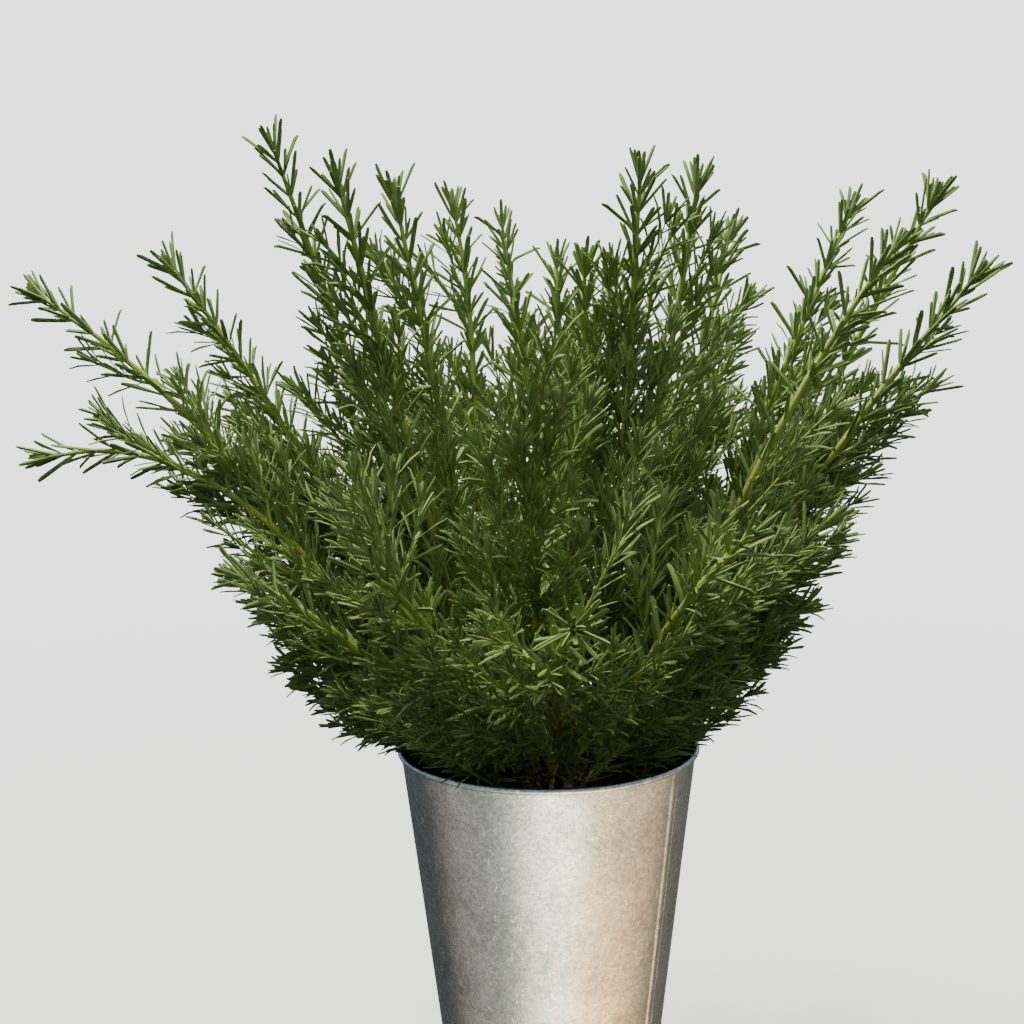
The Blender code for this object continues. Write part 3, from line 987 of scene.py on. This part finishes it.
class StemPattern:
    """A tube with a rounded square section, closed at both ends, to be laid along a line."""

    def __init__(self, name, sides, rows):
        bm = bmesh.new()
        made = bmesh.ops.create_circle(bm, segments=sides, radius=1.0, cap_ends=True)
        edges = list({edge for vert in made["verts"] for edge in vert.link_edges})
        for _ in range(rows - 1):
            edges, verts = extrude_ring(bm, edges)
            bmesh.ops.translate(bm, vec=(0, 0, 1), verts=verts)
        bmesh.ops.holes_fill(bm, edges=edges, sides=sides)
        bmesh.ops.recalc_face_normals(bm, faces=bm.faces[:])
        uv = bm.loops.layers.uv.new("OFBake")
        for face in bm.faces:
            middle = face.calc_center_median()
            there = math.atan2(middle.y, middle.x)
            for loop in face.loops:
                here = math.atan2(loop.vert.co.y, loop.vert.co.x)
                apart = (here - there + math.pi) % math.tau - math.pi
                around = (there + apart) / math.tau % 1.0 if len(face.verts) == 4 else 0.5
                if len(face.verts) == 4 and around < 0.02 and there > 0:
                    around = 1.0
                loop[uv].uv = (around, loop.vert.co.z / (rows - 1))
        self.mesh = finished(bm, name)
        shape = points_of(self.mesh)
        self.row = shape[:, 2] / (rows - 1)
        self.angle = np.arctan2(shape[:, 1], shape[:, 0])
        self.places = places_of(self.mesh)

    def lay(self, heap, shoot, column, knuckle):
        """Adds the stem of one shoot, swollen a little at each pair of leaves."""
        reach = self.row * shoot.length
        middle, along, side = shoot.between(reach)
        third = np.cross(along, side)
        radius = shoot.radius(self.row)
        square = 1 + 0.07 * np.cos(4 * self.angle)
        swell = 1 + 0.16 * np.exp(-(((reach / knuckle) % 1.0 - 0.5) / 0.13) ** 2)
        radius = radius * square * swell
        placed = (
            middle
            + side * (radius * np.cos(self.angle))[:, None]
            + third * (radius * np.sin(self.angle))[:, None]
        )
        moved = self.places.copy()
        moved[:, 0] = (column % STEM_COLUMNS + 0.02 + 0.96 * moved[:, 0]) / STEM_COLUMNS
        moved[:, 1] = 0.01 + 0.98 * (shoot.old + (shoot.young - shoot.old) * moved[:, 1])
        self.mesh.uv_layers["OFBake"].uv.foreach_set("vector", moved.ravel())
        self.mesh.vertices.foreach_set("co", placed.astype(np.float32).ravel())
        heap.from_mesh(self.mesh)


MAIN_STYLE = {
    "tuft": 24 * MM,
    "gap": 17 * MM,
    "tip_gap": 7 * MM,
    "extra": 4,
    "extra_low": 9,
    "fill": 0.85,
    "lean": 0.64,
    "leaf": 32 * MM,
    "full_from": 18 * MM,
    "half_width": 1.95 * MM,
    "curl": 0.32,
    "tone": 0.30,
    "spiral": 0.10,
    "bud": 8,
}
SIDE_STYLE = {
    "bare": 7 * MM,
    "tuft": 10 * MM,
    "gap": 9.0 * MM,
    "tip_gap": 4.0 * MM,
    "extra": 1,
    "extra_low": 1,
    "fill": 0.55,
    "lean": 0.54,
    "leaf": 20 * MM,
    "full_from": 30 * MM,
    "half_width": 1.25 * MM,
    "curl": 0.20,
    "tone": 0.30,
    "spiral": 0.12,
    "bud": 6,
}


def outward_turn(shoot, reach, chance, spread):
    """An angle round the shoot that points away from the bush's middle, give or take."""
    start, along, side, _ = shoot.at(reach)
    third = np.cross(along, side)
    away = np.array([start[0], start[1], 0.0]) * FAN_SPREAD
    return math.atan2(third @ away, side @ away) + chance.gauss(0, spread)


# by height: the greatest length of a side shoot, and how likely there is one
SIDE_LENGTHS = ((0.33, 0.45, 0.58, 0.75), (0.150, 0.125, 0.090, 0.055))
SIDE_CHANCES = ((0.33, 0.52, 0.62, 0.74), (1.0, 1.0, 0.95, 0.75))


def side_shoots(main, chance):
    """The side shoots of one main shoot, and theirs."""
    found = []
    reach = 26 * MM
    while reach < main.length * 0.86:
        x, y, height = main.at(reach)[0]
        # the tall outer parts are slender, with few and short side shoots, most so at the left
        far = math.hypot(x, y) + 0.05 * (x < 0)
        slender = np.interp(far, (0.13, 0.22), (0.0, 0.65)) * (height > 0.57)
        likely = np.interp(height, *SIDE_CHANCES)
        likely *= 1 - slender
        if chance.random() < likely:
            longest = np.interp(height, *SIDE_LENGTHS)
            length = longest * chance.uniform(0.55, 1.0) * (1 - 0.7 * slender)
            low = np.interp(height, (0.33, 0.45), (1.0, 0.0))
            lean = chance.uniform(0.45, 0.80) + 0.35 * low
            lift = chance.uniform(0.8, 1.6)
            turn = outward_turn(main, reach, chance, 1.2 - 0.5 * low)
            for shorten in (1.0, 0.75, 0.55):
                made = branch(main, reach, turn, lean, length * shorten, lift, chance)
                if made:
                    break
            if made:
                found.append(made)
                part = 0.28
                while length > 0.085 and part < 0.7:
                    twig = branch(
                        made,
                        made.length * part,
                        chance.uniform(0, math.tau),
                        chance.uniform(0.5, 0.9),
                        length * chance.uniform(0.3, 0.5),
                        0.8,
                        chance,
                    )
                    if twig:
                        found.append(twig)
                    part += 0.25
        reach += chance.uniform(12, 20) * MM * (0.7 if height < 0.44 else 1.0)
    return found


def make_shoots(leaf_finish, stem_finish):
    """Each shoot's stems and leaves, grown on the line of its CAD stem."""
    patterns = (
        LeafPattern("leaf", LEAF_SECTION, LEAF_OUTLINE),
        LeafPattern("small_leaf", SMALL_SECTION, SMALL_OUTLINE),
    )
    thick = StemPattern("thick_stem", 12, 110)
    thin = StemPattern("thin_stem", 5, 9)
    for number in range(1, SHOOT_COUNT + 1):
        chance = random.Random(100 + number)
        knots, radii = cad_rings(f"stem_{number:02d}")
        line = smooth_line(knots, 6 * MM)
        main = Shoot(line, radii[0], radii[-1] + 1.0 * MM, 0.05, 0.95)
        leaves, stems = bmesh.new(), bmesh.new()
        thick.lay(stems, main, number, MAIN_STYLE["gap"])
        bare = chance.uniform(50, 75) * MM
        tip = main.points[-1]
        # painted light on the shoots to the right and at the back, where the back light falls,
        # and painted shade on the low shoots in front, with a little random tone
        painted_light_and_tone = 0.10 * float(tip[0] > 0.10) + 0.10 * float(tip[1] > 0.05)
        painted_light_and_tone += chance.uniform(-0.04, 0.06) - 0.20 * float(tip[1] < -0.15)
        style = {**MAIN_STYLE, "bare": bare, "tone": MAIN_STYLE["tone"] + painted_light_and_tone}
        if tip[1] < 0.01:
            # the shoots in front have dropped many of their old leaves, and show their stems
            style["extra"], style["extra_low"] = 3, 1
        clothe(main, leaves, patterns, chance, style)
        for twig in side_shoots(main, chance):
            thin.lay(stems, twig, number + 3, SIDE_STYLE["gap"])
            height = twig.points[:, 2].mean()
            young = 0.30 * (chance.random() < 0.18)
            # side shoots take their main shoot's painted light and shade, and some are young
            # and paler
            style = {**SIDE_STYLE, "tone": SIDE_STYLE["tone"] + painted_light_and_tone + young}
            style["half_width"] *= np.interp(height, (0.45, 0.65), (1.0, 1.2))
            style["leaf"] *= np.interp(height, (0.40, 0.60), (1.0, 1.35))
            clothe(twig, leaves, patterns, chance, style)
        for kind, heap, finish, slot in (
            ("leaves", leaves, leaf_finish, "rosemary_leaf"),
            ("stem", stems, stem_finish, "rosemary_stem"),
        ):
            name = f"shoot_{number:02d}_{kind}"
            mesh = finished(heap, name)
            smooth(mesh, 55)
            add_piece(name, mesh, finish, slot, f"{kind}_{number:02d}")


# ---------------------------------------------------------------- studio

BACKDROP = 2.4  # brightness of the backdrop, a clean pale grey white
CAMERA_PLACE = (-0.0255, -1.085, 0.66)
CAMERA_PITCH, CAMERA_ROLL = math.radians(90 - 7.25), math.radians(-0.9)


def make_camera():
    """A plain lens just in front of the bush, looking down at it a little."""
    data = bpy.data.cameras.new("camera")
    data.lens = 50
    data.sensor_width = 36
    data.dof.use_dof = False
    camera = bpy.data.objects.new("camera", data)
    bpy.context.scene.collection.objects.link(camera)
    turned = Matrix.Rotation(CAMERA_PITCH, 4, "X") @ Matrix.Rotation(CAMERA_ROLL, 4, "Z")
    camera.matrix_world = Matrix.Translation(CAMERA_PLACE) @ turned
    bpy.context.scene.camera = camera


def make_world():
    """A soft bright studio: light from overhead, little from below. Mirrored, it is a room
    with a bright window in front, a brown wall to the left and a warm floor to the right,
    which gives metal its upright bands."""
    world = bpy.data.worlds.new("studio")
    bpy.context.scene.world = world
    world.use_nodes = True
    tree = world.node_tree
    tree.nodes.clear()
    way = add(tree, "TexCoord").outputs["Generated"]
    apart = add(tree, "SeparateXYZ", {"Vector": way})
    height = apart.outputs["Z"]
    back = add(tree, "Math", {0: apart.outputs["Y"], 1: -1.0}, operation="MULTIPLY")
    angle = add(tree, "Math", {0: apart.outputs["X"], 1: back.outputs[0]}, operation="ARCTAN2")
    turn = add(tree, "MapRange", {0: angle.outputs[0], 1: -math.pi, 2: math.pi, 3: 0.0, 4: 1.0})
    near = add(
        tree,
        "ValToRGB",
        {"Fac": turn.outputs[0]},
        stops=[
            (0.00, "#1c1d1e"), (0.19, "#1e2021"), (0.22, "#3c3733"), (0.27, "#504c46"),
            (0.36, "#555751"), (0.41, "#6a6e66"), (0.45, "#c4c8ac"), (0.50, "#ffffea"),
            (0.55, "#f4f4dc"), (0.585, "#8b8d7b"), (0.63, "#74766a"), (0.67, "#817a68"),
            (0.73, "#877255"), (0.78, "#6a5e4a"), (0.81, "#30302e"), (1.00, "#1c1d1e"),
        ],
    )
    low = add(
        tree,
        "ValToRGB",
        {"Fac": turn.outputs[0]},
        stops=[
            (0.00, "#1c1d1e"), (0.19, "#1e2021"), (0.22, "#36322f"), (0.30, "#45423d"),
            (0.40, "#56574f"), (0.46, "#8d8f7c"), (0.52, "#b8b090"), (0.57, "#dcb884"),
            (0.65, "#f2bd78"), (0.70, "#c4975e"), (0.74, "#70604a"), (0.79, "#4a463e"),
            (0.81, "#2e2d2b"), (1.00, "#1c1d1e"),
        ],
    )
    depth = add(tree, "MapRange", {0: height, 1: -0.56, 2: -0.66, 3: 0.0, 4: 1.0})
    walls = add(
        tree,
        "Mix",
        {0: depth.outputs[0], 6: near.outputs["Color"], 7: low.outputs["Color"]},
        data_type="RGBA",
    )
    # the sky comes down lower in front than at the sides
    front = add(
        tree,
        "ValToRGB",
        {"Fac": turn.outputs[0]},
        stops=[(0.20, 0.0), (0.27, 1.0), (0.73, 1.0), (0.80, 0.0)],
    )
    lifted = add(
        tree, "Math", {0: front.outputs["Color"], 1: 0.21, 2: height}, operation="MULTIPLY_ADD"
    )
    above = add(tree, "MapRange", {0: lifted.outputs[0], 1: -0.24, 2: -0.12, 3: 0.0, 4: 1.0})
    room = add(
        tree,
        "Mix",
        {0: above.outputs[0], 6: walls.outputs[2], 7: linear("#3a424e")},
        data_type="RGBA",
    )
    mirrored = add(tree, "Background", {"Color": room.outputs[2], "Strength": 7.2})
    sky = add(
        tree,
        "ValToRGB",
        {"Fac": add(tree, "MapRange", {0: height, 1: -1.0, 2: 1.0}).outputs[0]},
        stops=[(0.0, 0.01), (0.48, 0.02), (0.58, 0.07), (0.75, 0.22), (0.90, 0.75), (1.0, 1.0)],
    )
    soft = add(tree, "Background", {"Color": sky.outputs["Color"], "Strength": 1.5})
    seen = add(tree, "Background", {"Color": linear("#ffffff"), "Strength": BACKDROP})
    path = add(tree, "LightPath")
    glossy = add(
        tree,
        "MixShader",
        {0: path.outputs["Is Glossy Ray"], 1: soft.outputs[0], 2: mirrored.outputs[0]},
    )
    final = add(
        tree,
        "MixShader",
        {0: path.outputs["Is Camera Ray"], 1: glossy.outputs[0], 2: seen.outputs[0]},
    )
    add(tree, "OutputWorld", {"Surface": final.outputs[0]})


def make_floor():
    """A pale matt floor that fades into the backdrop, so its edge is never seen."""
    material, tree, shader = new_material("pale_matt_floor")
    shader.inputs["Base Color"].default_value = linear("#ececea")
    shader.inputs["Roughness"].default_value = 0.9
    place = add(tree, "TexCoord").outputs["Object"]
    reach = add(tree, "VectorMath", {0: place}, operation="LENGTH")
    far = add(
        tree,
        "MapRange",
        {0: reach.outputs["Value"], 1: 0.2, 2: 2.6, 3: 0.35, 4: 1.0},
        interpolation_type="SMOOTHSTEP",
    )
    glow = add(tree, "Emission", {"Color": linear("#ffffff"), "Strength": BACKDROP})
    faded = add(
        tree, "MixShader", {0: far.outputs[0], 1: shader.outputs[0], 2: glow.outputs[0]}
    )
    tree.links.new(faded.outputs[0], tree.nodes["Material Output"].inputs["Surface"])
    bm = bmesh.new()
    bmesh.ops.create_circle(bm, cap_ends=True, segments=96, radius=30.0)
    bmesh.ops.translate(bm, vec=(0, 0, -0.3 * MM), verts=bm.verts[:])
    mesh = finished(bm, "studio_floor")
    mesh.materials.append(material)
    floor = bpy.data.objects.new("studio_floor", mesh)
    bpy.context.scene.collection.objects.link(floor)
    floor.visible_glossy = False
    floor.visible_diffuse = False


def make_light(name, place, target, size, power, colour):
    """A round soft lamp of this size in metres and power in watts."""
    data = bpy.data.lights.new(name, "AREA")
    data.shape = "DISK"
    data.size = size
    data.energy = power
    data.color = linear(colour)[:3]
    light = bpy.data.objects.new(name, data)
    light.location = place
    aim = Vector(target) - Vector(place)
    light.rotation_euler = aim.to_track_quat("-Z", "Y").to_euler()
    bpy.context.scene.collection.objects.link(light)


def main():
    make_camera()
    make_world()
    make_floor()
    make_light("key", (-0.6, 0.4, 2.9), (0, 0, 0.5), size=0.8, power=132, colour="#fffbf2")
    make_light("back", (1.2, 1.6, 2.0), (0, 0, 0.6), size=1.2, power=34, colour="#f6faff")
    steel = galvanised_steel()
    make_bucket(steel, rim_steel())
    make_soil(potting_soil(), random.Random(5))
    make_shoots(rosemary_leaf(), rosemary_stem())
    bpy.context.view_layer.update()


main()
